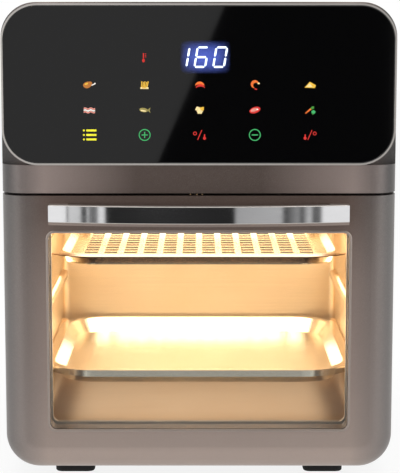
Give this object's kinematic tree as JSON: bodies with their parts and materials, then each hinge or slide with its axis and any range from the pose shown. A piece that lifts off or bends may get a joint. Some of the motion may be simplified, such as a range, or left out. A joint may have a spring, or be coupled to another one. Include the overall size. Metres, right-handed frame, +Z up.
{
  "type": "air fryer oven",
  "caption": "Tall countertop air fryer oven with a glass control head, a drop-down window door with a bowed handle, a mesh rack and a drip tray.",
  "frame": {"origin": "on the table, under the middle of the whole oven with its handle and rear grille", "axes": "+Z up, the door and handle face -Y, +X to the right seen from the front"},
  "size_m": [0.315, 0.356, 0.388],
  "materials": {
    "painted_plastic": "satin metallic taupe paint",
    "painted_shell": "satin metallic taupe paint",
    "dark_sheet": "matt dark coating",
    "black_plastic": "moulded black",
    "zinc_sheet": "galvanised sheet",
    "stainless": "brushed",
    "silicone": "soft silicone",
    "screw_steel": "zinc plated",
    "element_steel": "dark heat-tinted",
    "ceramic_part": "unglazed",
    "white_plastic": "moulded white",
    "bezel_plastic": "metallised edge",
    "control_glass": "black printed glass",
    "circuit_board": "solder resist",
    "foot_rubber": "matt",
    "pan_steel": "bright pressed steel",
    "door_glass": "clear tempered",
    "handle_paint": "satin taupe",
    "chrome_trim": "mirror plated",
    "cast_aluminium": "die cast",
    "bush_bronze": "sintered bronze",
    "copper_wire": "enamelled winding",
    "lamp_glass": "clear",
    "magnet": "ferrite"
  },
  "bodies": {
    "housing": {"base_pan": "dark_sheet", "bearing_bars": "cast_aluminium", "board_carrier": "zinc_sheet", "board_components": "black_plastic", "catch_magnet": "magnet", "control_bezel": "bezel_plastic", "control_board": "circuit_board", "control_glass": "control_glass", "cooking_chamber": "stainless", "cord_gland": "black_plastic", "display_module": "black_plastic", "door_seal": "silicone", "door_switch": "black_plastic", "element_brackets": "stainless", "exhaust_duct": "zinc_sheet", "exhaust_grille": "black_plastic", "fan_guard": "stainless", "feet": "foot_rubber", "front_frame": "stainless", "head_shell": "painted_plastic", "heater_dome": "zinc_sheet", "heating_element": "element_steel", "hinge_arms": "zinc_sheet", "housing_screws": "screw_steel", "lamp_bulb": "lamp_glass", "lamp_lens": "lamp_glass", "lamp_socket": "ceramic_part", "light_guide": "white_plastic", "motor_bracket": "zinc_sheet", "motor_coil": "copper_wire", "motor_stator": "dark_sheet", "outer_wrap": "painted_shell", "power_board": "circuit_board", "rear_cover": "dark_sheet", "shaft_bearings": "bush_bronze", "support_rails": "zinc_sheet", "temperature_probe": "stainless", "thermal_cutout": "ceramic_part"},
    "door": {"door_shell": "painted_shell", "door_liner": "stainless", "door_screws": "screw_steel", "handle_bar": "handle_paint", "handle_trim": "chrome_trim", "hinge_blocks": "zinc_sheet", "hinge_pins": "screw_steel", "hinge_springs": "screw_steel", "glass_gasket": "silicone", "outer_glass": "door_glass", "glass_spacer": "black_plastic", "inner_glass": "door_glass", "strike_plate": "stainless"},
    "fan_rotor": {"convection_fan": "zinc_sheet", "cooling_fan": "zinc_sheet", "fan_shaft": "screw_steel", "fan_nut": "screw_steel", "motor_rotor": "cast_aluminium"},
    "rack": {"rack_frame": "pan_steel", "rack_mesh": "pan_steel"},
    "tray": {"drip_tray": "pan_steel"},
    "switch_plunger": {"switch_plunger": "white_plastic"}
  },
  "joints": [
    {"name": "door_hinge", "type": "hinge", "parent": "housing", "child": "door", "pos_m": [0, -0.132, 0.031], "axis": [1, 0, 0], "range_deg": [0, 80], "stiffness_Nm_per_rad": 0.5, "springref_deg": -28.65},
    {"name": "fan_spin", "type": "hinge", "parent": "housing", "child": "fan_rotor", "pos_m": [0, 0.015, 0.25], "axis": [0, 0, 1], "continuous": true},
    {"name": "rack_slide", "type": "slide", "parent": "housing", "child": "rack", "axis": [0, -1, 0], "range_m": [0, 0.009]},
    {"name": "tray_slide", "type": "slide", "parent": "housing", "child": "tray", "axis": [0, -1, 0], "range_m": [0, 0.009]},
    {"name": "switch_slide", "type": "slide", "parent": "housing", "child": "switch_plunger", "axis": [0, -1, 0], "range_m": [0, 0.003]}
  ],
  "couplings": [
    {"joint": "switch_slide", "follows": "door_hinge", "m_per_rad": 0.00214}
  ]
}
